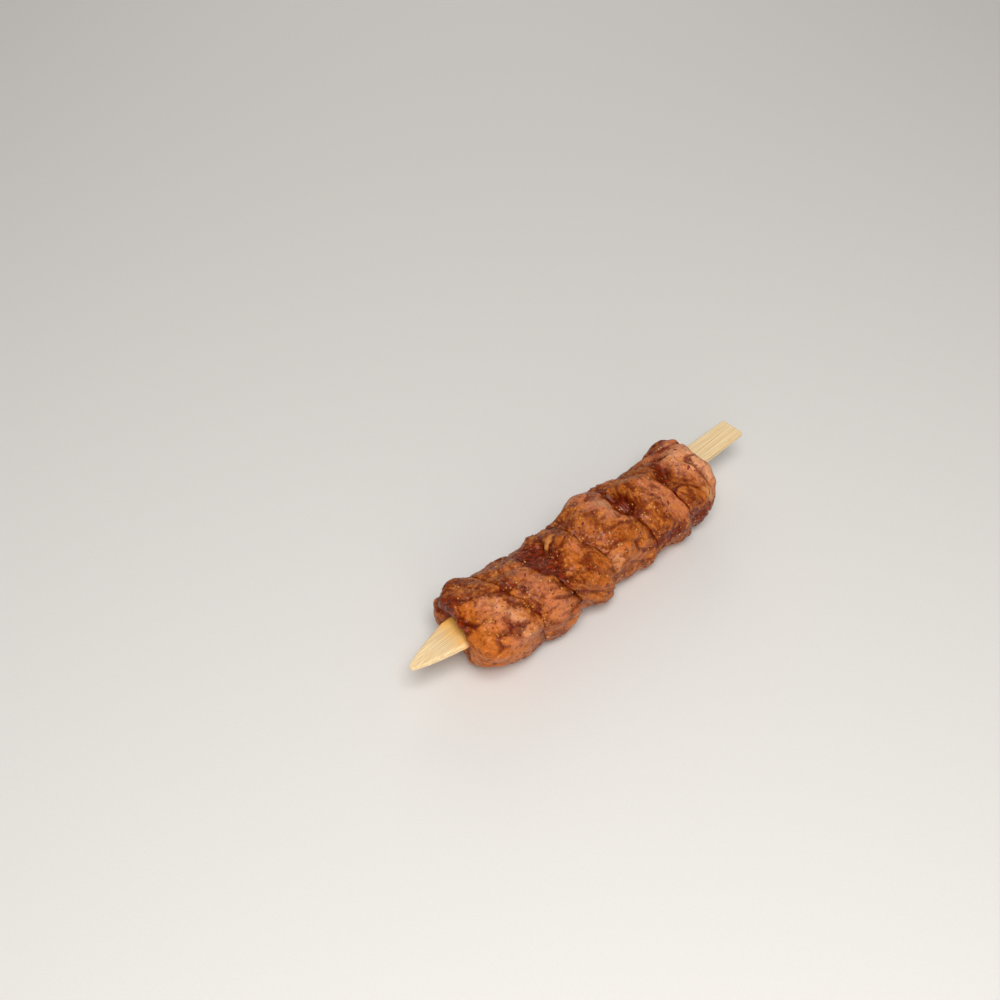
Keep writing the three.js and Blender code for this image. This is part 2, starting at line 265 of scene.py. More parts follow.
CHUNKS = [
    dict(
        half_width=21.5, half_height=19.5, offset=(-1.5, -3), roll=20, squareness=2.6, fullness=(3.6, 16),
        grain=(0.5, 0.6, 0.6), swells=[
            spot(108, -0.6, 10, 0.5, rise=-4.5, slant=0.7), spot(215, -0.85, 32, 0.55, rise=-6),
            spot(42, -0.85, 28, 0.5, rise=-3.5), spot(165, 0.9, 35, 0.4, rise=1.5),
        ],
    ),
    dict(
        half_width=20.5, half_height=20, offset=(-3.5, -3.5), roll=-15, squareness=2.6, fullness=(16, 9),
        grain=(0.2, 0.9, 0.3), swells=[
            spot(38, 0, 35, 0.9, rise=-3), spot(195, -0.9, 30, 0.4, rise=-1),
        ],
    ),
    dict(
        half_width=20.5, half_height=19.5, offset=(-3, -4), roll=35, squareness=2.5, fullness=(9, 14),
        grain=(0.7, 0.1, 0.7), swells=[
            spot(83, -0.4, 38, 0.5, rise=-7.5, slant=-1.06, crisp=2),
            spot(112, 0.35, 35, 0.3, rise=1.5, slant=-1.06), spot(208, 0.3, 18, 0.45, rise=2),
            spot(208, -0.9, 25, 0.3, rise=-2), spot(35, -0.5, 25, 0.7, rise=-4),
        ],
    ),
    dict(
        half_width=20, half_height=20, offset=(-2.5, -3), roll=5, squareness=2.7, fullness=(14, 9),
        grain=(0.1, 0.7, 0.7), swells=[
            spot(110, -0.1, 40, 0.6, rise=1.5), spot(110, 1.05, 22, 0.3, rise=-5),
            spot(208, 0.5, 20, 0.4, rise=1.5), spot(208, -0.9, 25, 0.35, rise=-2),
            spot(35, -0.6, 25, 0.4, rise=-5),
        ],
    ),
    dict(
        half_width=20, half_height=19.5, offset=(-3, -4), roll=40, squareness=2.4, fullness=(9, 12),
        grain=(0.6, 0.5, -0.6), swells=[
            spot(95, -0.85, 36, 0.42, rise=-7.5, slant=-0.84, crisp=2),
            spot(110, 0.1, 35, 0.3, rise=1, slant=-0.84), spot(206, 0.7, 25, 0.5, rise=2.5),
            spot(205, -1, 25, 0.35, rise=-1.5), spot(45, 0.3, 30, 0.9, rise=-2),
        ],
    ),
    dict(
        half_width=20, half_height=20, offset=(-3, -3.5), roll=10, squareness=2.5, fullness=(12, 4),
        grain=(0.3, 0.8, -0.4), swells=[
            spot(100, -0.5, 32, 0.14, rise=-5, slant=-0.74), spot(50, -0.4, 32, 0.8, rise=-4),
            spot(200, 0.6, 35, 0.5, rise=-2.5),
        ],
    ),
]
HALF_LENGTHS = [(end["at"] - start["at"]) / 2 for start, end in zip(SEAMS, SEAMS[1:])]
print("half lengths in mm:", HALF_LENGTHS, "swells:", [len(chunk["swells"]) for chunk in CHUNKS])

# %% The outline of a chunk
LUMPS = [(31, 0.9), (23, 0.7), (17, 0.5), (12, 0.35)]  # wavelength and height
BUNDLES = dict(spacing=8.5, height=0.45, wander=1.2, wander_length=24)


def bell(place, turn, sweep):
    """A slanted bell curve on the skin: exp(-(a^2 + b^2)^crisp / 2), with a and b the ways round and along
    from the place, each over its reach. Crisp is 1 for a bell; more gives a flat middle and steep sides."""
    around = (turn - np.radians(place["turn"]) + np.pi) % FULL_TURN - np.pi
    along = sweep - place["sweep"]
    cos, sin = math.cos(place.get("slant", 0)), math.sin(place.get("slant", 0))
    a = (around * cos + along * sin) / np.radians(place["wide"])
    b = (along * cos - around * sin) / place["long"]
    return np.exp(-((a * a + b * b) ** place.get("crisp", 1)) / 2)


def lump_height(index, x, y, z):
    """Broad lumps, sines in random directions, and wavy bundles of fibres across the grain."""
    height = 0
    for k, (wavelength, rise) in enumerate(LUMPS):
        up = 2 * chance(3 * k, index) - 1
        flat = math.sqrt(1 - up * up)
        turn = FULL_TURN * chance(3 * k + 1, index)
        along = x * up + y * flat * math.cos(turn) + z * flat * math.sin(turn)
        height = height + rise * np.sin(FULL_TURN * (along / wavelength + chance(3 * k + 2, index)))
    grain = unit(np.array(CHUNKS[index]["grain"]))
    wander = BUNDLES["wander"] * np.sin(FULL_TURN * (x + y - z) / BUNDLES["wander_length"] + index)
    across = grain[0] * x + grain[1] * y + grain[2] * z + wander
    return height + BUNDLES["height"] * np.sin(FULL_TURN * across / BUNDLES["spacing"])


def outline(index, turn, sweep, x):
    """Y and z at full reach: the rolled, rounded square, with swells and lumps added outwards."""
    chunk = CHUNKS[index]
    section = superellipse(turn - np.radians(chunk["roll"]), chunk["squareness"])
    y = chunk["offset"][0] + section * chunk["half_width"] * np.cos(turn)
    z = chunk["offset"][1] + section * chunk["half_height"] * np.sin(turn)
    swell = sum(place["rise"] * bell(place, turn, sweep) for place in chunk["swells"])
    relief = swell + lump_height(index, x, y, z)
    return y + relief * np.cos(turn), z + relief * np.sin(turn)


print("third chunk, y and z of its outline on top:", np.round(outline(2, np.pi / 2, 0, SEAMS[2]["at"]), 2))

# %% What happens at a shared seam
SIDE_FULLNESS = 1.8  # how much sharper a shoulder is on the -Y side
TIGHTNESS = dict(most=6, usual=0.4, radius=2.3)  # how much sharper it gets where two chunks stick together
VALLEY = dict(depth=0.75, width=1.5, usual=0.45, swing=1.3, radius=3.1)  # the soft groove along the seam


def neighbours(index, pitch):
    """The chunk that each point's nearer seam is shared with. There is none beyond the first and the last."""
    other = np.where(pitch < np.pi / 2, index - 1, index + 1)
    return other, (other >= 0) & (other < len(CHUNKS))


def seam_noise(index, turn, pitch, radius):
    """Noise along a circle, its radius in lattice cells: the same for the two chunks that share a seam."""
    other, _ = neighbours(index, pitch)
    ring = np.stack([np.cos(turn), np.sin(turn), np.maximum(index, other) + 0.5 + 0 * turn], axis=-1)
    return noise(ring * radius)


def valley(index, turn, pitch, sweep):
    """Weight of the soft groove along a shared seam: exp(-distance / width), coming and going round it."""
    _, shared = neighbours(index, pitch)
    patches = seam_noise(index, turn, pitch, VALLEY["radius"])
    comes = np.clip(VALLEY["usual"] + VALLEY["swing"] * patches, 0, 1)
    return comes * shared * np.exp((np.abs(sweep) - 1) * HALF_LENGTHS[index] / VALLEY["width"])


def profile(index, turn, pitch):
    """Share of the way along X (-1 to 1) and out from X (0 to 1): a superellipse, whose exponent differs at
    the two seams. At a shared one it grows towards the -Y side and where the two chunks stick together."""
    towards_start, towards_end = CHUNKS[index]["fullness"]
    _, shared = neighbours(index, pitch)
    side = np.where(shared, lerp(1, SIDE_FULLNESS, (1 - np.cos(turn)) / 2), 1)
    tight = np.clip(TIGHTNESS["usual"] + seam_noise(index, turn, pitch, TIGHTNESS["radius"]), 0, 1)
    side = side * np.where(shared, 1 + TIGHTNESS["most"] * tight, 1)
    radius = superellipse(pitch, np.where(pitch < np.pi / 2, towards_start, towards_end) * side)
    return -radius * np.cos(pitch), radius * np.sin(pitch)


print("second chunk, sweep and reach at a shoulder:", np.round(profile(1, np.array(0.0), np.array(0.8)), 2))

# %% The skin of a chunk
TUNNEL_CLEARANCE = 0.05
PILLOW = 1.4  # how far a chunk is drawn in at a shared seam
FLUSH_POWER = 3  # how late the outline turns into the neighbour's


def chunk_skin(index, turn, pitch):
    """The chunk's form. Turn goes round the skewer, pitch from one seam to the other. The outline blends
    into the neighbour's near a flush seam and bulges between seams, is drawn in towards the tunnel by its
    reach, is set down flat on the surface that it lies on, and slides between the two seams."""
    sweep, reach = profile(index, turn, pitch)
    share = (sweep + 1) / 2
    x = lerp(SEAMS[index]["at"], SEAMS[index + 1]["at"], share)
    y, z = outline(index, turn, sweep, x)
    other, shared = neighbours(index, pitch)
    for end, side in enumerate((-1, 1)):
        if 0 <= index + side < len(CHUNKS):
            other_y, other_z = outline(index + side, turn, -side, x)
            near = shared & (other == index + side)
            flush = np.where(near, SEAMS[index + end]["flush"] / 2 * np.abs(sweep) ** FLUSH_POWER, 0)
            y, z = lerp(y, other_y, flush), lerp(z, other_z, flush)
    pillow = np.where(shared, PILLOW * sweep * sweep, 0) + VALLEY["depth"] * valley(index, turn, pitch, sweep)
    y, z = y - pillow * np.cos(turn), z - pillow * np.sin(turn)
    tunnel_width, tunnel_thickness = (size + TUNNEL_CLEARANCE for size in skewer_section(x))
    corner = superellipse(turn, SKEWER["squareness"])
    y = lerp(tunnel_width * corner * np.cos(turn), y, reach)
    z = np.maximum(lerp(tunnel_thickness * corner * np.sin(turn), z, reach), FLOOR_Z)
    start = seam_x(index, y, z) + SEAM_GAP / 2
    end = seam_x(index + 1, y, z) - SEAM_GAP / 2
    return np.stack([lerp(start, end, share), y, z], axis=-1)


middle_ring = chunk_skin(2, np.linspace(0, FULL_TURN, 9), np.pi / 2 + np.zeros(9))
print("third chunk, from", middle_ring.min(0).round(2), "to", middle_ring.max(0).round(2), "at its middle")

# %% [markdown]
# ## Muscle fibres
# Raw lamb is bundles of fibres, each a few millimetres across and many times as long, with grooves between
# them. Stretching the noise along one direction gives them. Its distance from zero makes a groove between
# two rounded strands wherever it changes sign. A finer layer gives the crumb of ground spice. All this could
# be bump in the material, but then outlines and grazing light would show a smooth ball.

# %% Fine relief along each chunk's own grain
FIBRE_GUIDE = np.array([0.55, -0.45, 0.7])  # fibres run square to it and to the chunk's own grain direction
FIBRES = [(4.6, 30, 0.75), (2.1, 17, 0.32), (1.0, 9, 0.09)]  # width across, length along, height
GROOVE_ROUNDING = 0.12
STRAND_MEAN = 0.33  # about the mean of a strand, taken off so that the chunk keeps its size
GRAIN_BEND = dict(size=16, sway=(2.2, 0, 1.6))
CRUMB = dict(size=0.95, height=0.045)
CREASES = dict(across=11, along=26, width=0.12, depth=0.8, usual=0.25, swing=2, patch=15)
PRESSED = dict(sweep=0.9, sweep_gain=10, reach=0.99, reach_gain=12)  # where relief fades out on a seam
OPEN_END_GAIN = 3  # how soon relief rises from the skewer on the two bare ends
SMALL_TURN = 0.004


def grain_space(index, points):
    """Coordinates along the chunk's grain, in mm: across the fibres, along them, and across again. Slow noise
    bends them, so no fibre runs straight."""
    across = unit(np.array(CHUNKS[index]["grain"]))
    along = unit(np.cross(across, FIBRE_GUIDE))
    axes = np.stack([across, along, np.cross(across, along)], axis=1)
    bend = noise(points / GRAIN_BEND["size"], seed=index + 20)[..., None] * np.array(GRAIN_BEND["sway"])
    return points @ axes + bend


def crease_weight(index, grain):
    """Where muscles part: exp(-(n / width)^2), with n the noise stretched along the grain, which makes thin
    lines where n is 0, times a slow noise that lets them come and go."""
    line = noise(grain / [CREASES["across"], CREASES["along"], CREASES["across"]], seed=index + 40)
    patches = noise(grain / CREASES["patch"], seed=index + 50)
    comes = np.clip(CREASES["usual"] + CREASES["swing"] * patches, 0, 1)
    return comes * np.exp(-((line / CREASES["width"]) ** 2))


def fibre_height(index, points):
    """Crumb, minus creases, plus for each fibre size its height times a strand: sqrt(n^2 + rounding^2) less
    its mean, with n the noise stretched along the grain."""
    grain = grain_space(index, points)
    height = CRUMB["height"] * noise(points / CRUMB["size"], seed=index)
    height = height - CREASES["depth"] * crease_weight(index, grain)
    for number, (across, along, rise) in enumerate(FIBRES):
        strand = np.hypot(noise(grain / [across, along, across], seed=index + 7 * number), GROOVE_ROUNDING)
        height = height + rise * (strand - STRAND_MEAN)
    return height


def is_bare_end(index, sweep):
    """True on the two end faces that no neighbour covers."""
    return (index == 0) & (sweep < 0) | (index == len(CHUNKS) - 1) & (sweep > 0)


def fine_skin(index, turn, pitch):
    """Points of the finished skin and their normals. The normal is the cross product of two small steps on
    the form, and the fibre relief is added along it, but not on the seams, where neighbours press flat."""
    base = chunk_skin(index, turn, pitch)
    ahead = chunk_skin(index, turn + SMALL_TURN, pitch) - base
    along = chunk_skin(index, turn, pitch + SMALL_TURN) - base
    normal = unit(np.cross(ahead, along))
    sweep, reach = profile(index, turn, pitch)
    near_seam = np.clip((np.abs(sweep) - PRESSED["sweep"]) * PRESSED["sweep_gain"], 0, 1)
    inside = np.clip((PRESSED["reach"] - reach) * PRESSED["reach_gain"], 0, 1)
    bare_end = np.clip(reach * OPEN_END_GAIN, 0, 1)
    strength = np.where(is_bare_end(index, sweep), bare_end, 1 - near_seam * inside)
    points = base + normal * (strength * fibre_height(index, base))[..., None]
    points[..., 2] = np.maximum(points[..., 2], FLOOR_Z)
    return points, normal


print("relief round that ring, in mm:", fibre_height(2, middle_ring).round(2))

# %% [markdown]
# ## Colour of each place
# One marinade coats everything, but it isn't one colour. Darker red lies in the recesses, creases and seams
# and on the underside: partly marinade that pools there, partly painted shade. Amber, pink and pale patches
# are partly marinade, rubbed-off lamb and fat, and partly painted light on lit sides and painted highlights.
# Each of these is a weight from 0 to 1 on every point, kept as an attribute of the mesh, which the material
# reads. Painting an image would tie the looks to one unwrapping, and noise alone couldn't put the dark where
# the crease is.

# %% Tints of each chunk
# The first kind of tint is painted shade with some pooled marinade: darker red in recesses, creases, seams and
# on the underside.
TINT_KINDS = ("dark", "amber", "pink", "pale")
# How much painted shade with pooled marinade the creases and the seams add.
CREASE_SHADE_AND_POOL = 0.4
SEAM_SHADE_AND_POOL = 0.4
# Amber, pink and pale are partly the lamb's own tones and partly painted light: brighter amber on lit sides,
# pink and pale painted highlights.
TINTS = [
    [
        spot(60, -0.95, 30, 0.34, dark=0.9), spot(108, -0.86, 8, 0.22, dark=0.7, slant=0.7),
        spot(100, -0.45, 28, 0.35, amber=0.7), spot(165, -0.9, 40, 0.5, amber=1.0),
        spot(200, -0.3, 45, 0.8, amber=1.1), spot(134, 0.25, 32, 0.4, pink=0.9),
        spot(130, 0.44, 28, 0.2, pale=0.7), spot(320, 0.2, 30, 0.6, amber=0.7),
        spot(10, 0.3, 25, 0.5, pink=0.6),
    ],
    [
        spot(100, 0.2, 30, 0.5, pink=0.6), spot(152, -0.1, 22, 0.5, pink=0.7),
        spot(112, -0.62, 16, 0.14, dark=0.45), spot(88, 1.05, 20, 0.3, dark=0.8, crisp=2),
        spot(190, 0.6, 40, 0.6, amber=0.6), spot(345, -0.4, 25, 0.6, amber=0.8),
        spot(25, 0.8, 14, 0.4, dark=0.6, slant=0.6),
    ],
    [
        spot(87, -0.5, 37, 0.47, dark=1.1, slant=-1.06, crisp=2), spot(66, -0.5, 16, 0.42, dark=0.9),
        spot(121, -1.0, 14, 0.25, dark=0.9), spot(110, 0.5, 40, 0.25, amber=0.4, slant=-1.06),
        spot(143, 0.15, 20, 0.3, amber=0.5), spot(108, 0.65, 22, 0.2, pink=0.6, slant=-1.06),
        spot(170, 0.3, 40, 0.6, amber=0.45), spot(330, -0.2, 35, 0.7, pink=0.8),
    ],
    [
        spot(160, 0.15, 32, 0.55, amber=1.0), spot(112, 1.12, 20, 0.2, dark=0.9, crisp=2),
        spot(164, 1.0, 12, 0.16, dark=0.7), spot(80, 0.65, 32, 0.4, pink=1.3),
        spot(120, -0.6, 40, 0.3, pink=0.4), spot(54, 0.6, 20, 0.4, pink=0.7),
        spot(156, -0.8, 16, 0.18, pale=0.55), spot(92, 0.72, 17, 0.24, pale=0.8),
        spot(340, 0.3, 30, 0.6, amber=0.9), spot(300, -0.8, 16, 0.4, dark=0.6),
    ],
    [
        spot(98, -0.85, 34, 0.36, dark=1.1, slant=-0.84, crisp=2), spot(176, -0.3, 12, 0.7, dark=0.6),
        spot(134, 0.68, 30, 0.4, pink=0.8), spot(112, 0.4, 20, 0.3, pink=0.5),
        spot(10, 0.5, 25, 0.5, pink=0.7), spot(290, -0.2, 30, 0.6, amber=0.7),
    ],
    [
        spot(101, -0.68, 32, 0.14, dark=0.7, slant=-0.74), spot(90, -0.35, 25, 0.25, dark=0.3),
        spot(120, 0.72, 28, 0.36, pale=1.0), spot(84, 0.15, 18, 0.3, pale=0.5),
        spot(78, 0.15, 24, 0.45, pink=1.0), spot(122, 0.7, 35, 0.45, pink=1.1),
        spot(165, 0.2, 22, 0.4, amber=0.8), spot(200, -0.6, 28, 0.7, dark=0.9),
        spot(350, 0.1, 25, 0.5, amber=0.8), spot(30, 0.9, 20, 0.3, dark=0.6),
    ],
]


def tint_weights(index, turn, pitch, grain):
    """For each kind of tint the sum of its bells, and for the painted shade with pooled marinade also the
    creases and the seams.
    """
    sweep, _ = profile(index, turn, pitch)
    weights = {kind: np.zeros(np.shape(sweep)) for kind in TINT_KINDS}
    for place in TINTS[index]:
        weight = bell(place, turn, sweep)
        for kind in TINT_KINDS:
            weights[kind] += place.get(kind, 0) * weight
    # Painted shade, with some pooled marinade, along the creases and the seams.
    weights["dark"] += CREASE_SHADE_AND_POOL * crease_weight(index, grain)
    weights["dark"] += SEAM_SHADE_AND_POOL * valley(index, turn, pitch, sweep)
    return {kind: np.clip(weight, 0, 1) for kind, weight in weights.items()}


print("tints of each chunk:", [len(places) for places in TINTS])

# %% [markdown]
# ## The six chunks
# The skin is sampled on a grid: evenly round the skewer, and along the profile in steps of even length, so
# that the flat sides and the sharp shoulders are equally fine. The faces that lie hidden in the seams need
# few points and get a quarter of them.

# %% Build the chunks
TURN_STEPS = 400
PITCH_STEPS = 196
MEASURING_STEPS = 6000
HIDDEN_REACH = 0.72
HIDDEN_DENSITY = 0.25
# The stored relief paints shade into the grooves and light onto the crests of the fibres.
RELIEF_MIDDLE = 0.45
RELIEF_SPAN = 1.2  # mm of fibre relief from the darkest groove to the brightest crest
turns = np.linspace(0, FULL_TURN, TURN_STEPS, endpoint=False)


def even_pitches(index):
    """Pitches at even steps of length along the profile on top, with longer steps in the seams."""
    pitch = np.linspace(0, np.pi, MEASURING_STEPS)
    sweep, reach = profile(index, np.full(pitch.shape, np.pi / 2), pitch)
    step = np.hypot(np.diff(sweep) * HALF_LENGTHS[index], np.diff(reach) * CHUNKS[index]["half_width"])
    hidden = (reach < HIDDEN_REACH) & ~is_bare_end(index, sweep)
    length = np.concatenate([[0], np.cumsum(step * np.where(hidden[1:], HIDDEN_DENSITY, 1))])
    return np.interp(np.linspace(0, length[-1], PITCH_STEPS), length, pitch)


def store(mesh, name, values, kind="FLOAT"):
    """Keeps an array on the mesh's points, as numbers or as vectors."""
    attribute = mesh.attributes.new(name, kind, "POINT")
    key = "value" if kind == "FLOAT" else "vector"
    attribute.data.foreach_set(key, values.astype(np.float32).ravel())


chunks = []
for index in range(len(CHUNKS)):
    turn, pitch = np.meshgrid(turns, even_pitches(index))
    rings, _ = fine_skin(index, turn, pitch)
    faces = ring_faces(PITCH_STEPS, TURN_STEPS, tunnel=True)
    chunk = add_mesh(f"lamb_chunk_{index + 1}", rings, faces)
    grain = grain_space(index, rings)
    # Tints, among them painted shade and painted light, kept on the points.
    for kind, weight in tint_weights(index, turn, pitch, grain).items():
        store(chunk.data, kind, weight)
    store(chunk.data, "grain", grain, "FLOAT_VECTOR")
    store(chunk.data, "relief", np.clip(RELIEF_MIDDLE + fibre_height(index, rings) / RELIEF_SPAN, 0, 1))
    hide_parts(f"lamb_{index + 1}")
    chunks.append(chunk)
    print(chunk.name, "triangles:", 2 * len(chunk.data.polygons))

# %% [markdown]
# ## Fat
# Lamb shoulder keeps caps and strips of fat, paler and smoother than the muscle and stained orange by the
# marinade. Each is a thin lens laid on the meat: in its middle it bridges the fibres, and towards its wavy
# rim it hugs them and dips just below. A stored weight, 0 in the middle and 1 at the rim, lets its colour run
# into the meat's. Painting the fat on would leave the fibres running through it.

# %% Build the caps of fat
FAT_CAPS = [  # chunk, turn in degrees, sweep, half length and half width in mm, slant in degrees
    dict(index=5, turn=160, sweep=0.25, long=6.5, wide=4, slant=70),
    dict(index=2, turn=74, sweep=0.3, long=3.6, wide=2.2, slant=20),
    dict(index=1, turn=322, sweep=-0.1, long=7, wide=2.4, slant=35),
    dict(index=3, turn=20, sweep=0.1, long=8, wide=2.8, slant=75),
    dict(index=4, turn=325, sweep=0.2, long=6, wide=3, slant=120),
    dict(index=0, turn=335, sweep=0.3, long=6.5, wide=2, slant=100),
]
FAT = dict(rise=0.5, sunk=0.25, depth=0.9, lumps=0.18, lump_size=2.2)
FAT_WAVES = [(1.4, 0.45), (2.6, 0.18)]  # noise along a circle: its radius in lattice cells, and the height
FAT_OUT = np.linspace(0.02, 1, 26)  # share of the way from the middle of a cap to its rim, for each ring
FAT_AROUND = 72
MEAT_RADIUS = 20


def fat_cap_rings(cap):
    """Rings that spread from the middle of the top to the rim and come back underneath. A ring's place is an
    ellipse with a rim made wavy by noise. The top blends from the smooth form plus rise to the finished skin
    by the square of the share of the way out, and sinks at the rim by the sixth power."""
    over = FAT_OUT[:, None]
    angle = np.linspace(0, FULL_TURN, FAT_AROUND, endpoint=False)[None, :]
    circle = np.stack([np.cos(angle), np.sin(angle), 0 * angle + cap["turn"]], axis=-1)
    wavy = over * (1 + sum(height * noise(circle * radius) for radius, height in FAT_WAVES))
    along = wavy * cap["long"] * np.cos(angle)
    across = wavy * cap["wide"] * np.sin(angle)
    cos, sin = math.cos(math.radians(cap["slant"])), math.sin(math.radians(cap["slant"]))
    turn = np.radians(cap["turn"]) + (across * cos + along * sin) / MEAT_RADIUS
    sweep = cap["sweep"] + (along * cos - across * sin) / HALF_LENGTHS[cap["index"]]
    pitch = np.pi / 2 + np.arctan(sweep)
    form = chunk_skin(cap["index"], turn, pitch)
    skin, normal = fine_skin(cap["index"], turn, pitch)
    lumps = FAT["lumps"] * noise(form / FAT["lump_size"])
    top = lerp(form + normal * (FAT["rise"] + lumps)[..., None], skin, over[..., None] ** 2)
    top = top - normal * FAT["sunk"] * over[..., None] ** 6
    under = form - normal * FAT["depth"]
    rings = np.concatenate([top, under[::-1]])
    rings[..., 2] = np.maximum(rings[..., 2], FLOOR_Z)
    return rings


def joined(parts):
    """One array of points and one list of faces from several (points, faces)."""
    start, points, faces = 0, [], []
    for part_points, part_faces in parts:
        points.append(part_points)
        faces.extend([corner + start for corner in face] for face in part_faces)
        start += len(part_points)
    return np.vstack(points), faces


fat = add_mesh("fat_caps", *joined([capped(fat_cap_rings(cap)) for cap in FAT_CAPS]))
ring_weights = np.repeat(np.concatenate([FAT_OUT, FAT_OUT[::-1]]), FAT_AROUND)
cap_weights = np.append(ring_weights, [0, 0])
store(fat.data, "rim", np.tile(cap_weights, len(FAT_CAPS)))
print("fat faces:", len(fat.data.polygons))

# %% [markdown]
# ## Spice
# Crushed chilli, pale chilli seeds and dark herb flecks stick in the marinade. Each kind is one joined mesh
# of thousands of tiny flakes: a flake is a rim of a few points at uneven distances, with a point above and
# one below its middle. All flakes of a kind are computed together as one array. Particles would do too, but
# an export drops them.

# %% Places and shapes of flakes
FLOOR_CLEARANCE = 1.5
NEAREST = dict(seam=0.93, bare_end=0.5)  # the sweep up to which flakes lie
FLAKE_TILT = 0.175


def skin_above(clearance, places):
    """Points and normals of the skin at places of index, turn and pitch, where it is clear of the floor, and
    which of the places those are."""
    points, normals = (np.concatenate(part) for part in zip(*[fine_skin(*place) for place in places]))
    clear = points[:, 2] > clearance + FLOOR_Z
    return points[clear], normals[clear], clear


def flake_mesh(middles, normals, lengths, aspect, thickness, seed, sides=7, curl=0.2, rough=0.5):
    """Points and faces of flakes lying on their normals. Rim point k of a flake is at angle 2 pi k / sides
    and at length x (1 - rough to 1.1), narrowed by aspect, and bent up by curl along the length."""
    random = np.random.default_rng(seed)
    count = len(middles)
    angle = FULL_TURN * np.arange(sides) / sides
    radius = lengths[:, None] * random.uniform(1 - rough, 1.1, (count, sides))
    along, across = radius * np.cos(angle), radius * np.sin(angle) * aspect
    lift = curl * along**2 / lengths[:, None]
    rim = np.stack([along, across, lift], axis=-1)
    tops = np.zeros((count, 2, 3))
    tops[:, 0, 2] = thickness * lengths
    tops[:, 1, 2] = -thickness * lengths
    local = np.concatenate([rim, tops], axis=1)
    side = unit(np.cross(normals, unit(random.normal(size=(count, 3)))))
    tilted = unit(normals + FLAKE_TILT * random.normal(size=(count, 3)))
    side = unit(side - tilted * (side * tilted).sum(-1, keepdims=True))
    axes = np.stack([side, np.cross(tilted, side), tilted], axis=1)
    points = middles[:, None] + local @ axes
    k = np.arange(sides)
    after = (k + 1) % sides
    upper = np.stack([k, after, np.full(sides, sides)], axis=-1)
    lower = np.stack([after, k, np.full(sides, sides + 1)], axis=-1)
    one = np.concatenate([upper, lower])
    faces = one[None] + (np.arange(count) * (sides + 2))[:, None, None]
    return points.reshape(-1, 3), faces.reshape(-1, 3).tolist()


# %% Build the spice pieces
FUSED_FLAKES = dict(per_chunk=14, smallest=0.8, largest=1.4, pitch_spread=0.5, floor_clearance=3)
FUSED_SHAPE = dict(aspect=0.7, thickness=0.16, sides=9, seed=5)
SMALL_CHILLI = dict(count=900, smallest=0.25, largest=0.7, aspect=0.75, thickness=0.2, seed=11)
SEEDS = dict(count=170, smallest=0.5, largest=0.85, aspect=0.8, thickness=0.3, seed=21, curl=0, rough=0.25)
HERBS = dict(count=480, smallest=0.2, largest=0.5, aspect=0.45, thickness=0.15, seed=31)


def large_flakes():
    """The flakes that the solids carry too: turned by the golden angle, so that they never line up."""
    number = np.arange(FUSED_FLAKES["per_chunk"])
    places, lengths = [], []
    for index in range(len(CHUNKS)):
        seed = 100 + index
        turn = number * GOLDEN_ANGLE + FULL_TURN * chance(0, seed)
        pitch = np.pi / 2 + FUSED_FLAKES["pitch_spread"] * (2 * chance(3 * number + 1, seed) - 1)
        places.append((index, turn, pitch))
        lengths.append(lerp(FUSED_FLAKES["smallest"], FUSED_FLAKES["largest"], chance(3 * number + 2, seed)))
    points, normals, clear = skin_above(FUSED_FLAKES["floor_clearance"], places)
    return flake_mesh(points, normals, np.concatenate(lengths)[clear], **FUSED_SHAPE)


def scattered_flakes(count, smallest, largest, seed, **shape):
    """Flakes of one kind at random places on all the chunks."""
    random = np.random.default_rng(seed)
    places = []
    for index in range(len(CHUNKS)):
        turn = random.uniform(0, FULL_TURN, count // len(CHUNKS))
        lowest = -NEAREST["bare_end" if index == 0 else "seam"]
        highest = NEAREST["bare_end" if index == len(CHUNKS) - 1 else "seam"]
        sweep = random.uniform(lowest, highest, turn.shape)
        places.append((index, turn, np.pi / 2 + np.arctan(sweep)))
    points, normals, _ = skin_above(FLOOR_CLEARANCE, places)
    lengths = np.random.default_rng(seed + 1).uniform(smallest, largest, len(points))
    return flake_mesh(points, normals, lengths, seed=seed + 2, **shape)


chilli = add_mesh("chilli_flakes", *joined([large_flakes(), scattered_flakes(**SMALL_CHILLI)]))
seeds = add_mesh("chilli_seeds", *scattered_flakes(**SEEDS, sides=9))
herbs = add_mesh("herb_flecks", *scattered_flakes(**HERBS))
for piece, slot in ((chilli, "chilli"), (seeds, "seed"), (herbs, "herb")):
    print(piece.name, "triangles:", len(piece.data.polygons))

# %% [markdown]
# ## Building materials
# A finish is a small graph of nodes. These helpers keep it readable: one adds a node and wires or sets its
# inputs, and a few name what every finish does, such as laying a colour over another by a share.

# %% Material helpers
RAGGEDNESS = 1.6


def srgb(red, green, blue):
    """A colour as a picture shows it, 0 to 255, in the linear numbers that the renderer works with."""
    values = np.array([red, green, blue]) / 255
    linear = np.where(values <= 0.04045, values / 12.92, ((values + 0.055) / 1.055) ** 2.4)
    return (*linear.tolist(), 1.0)


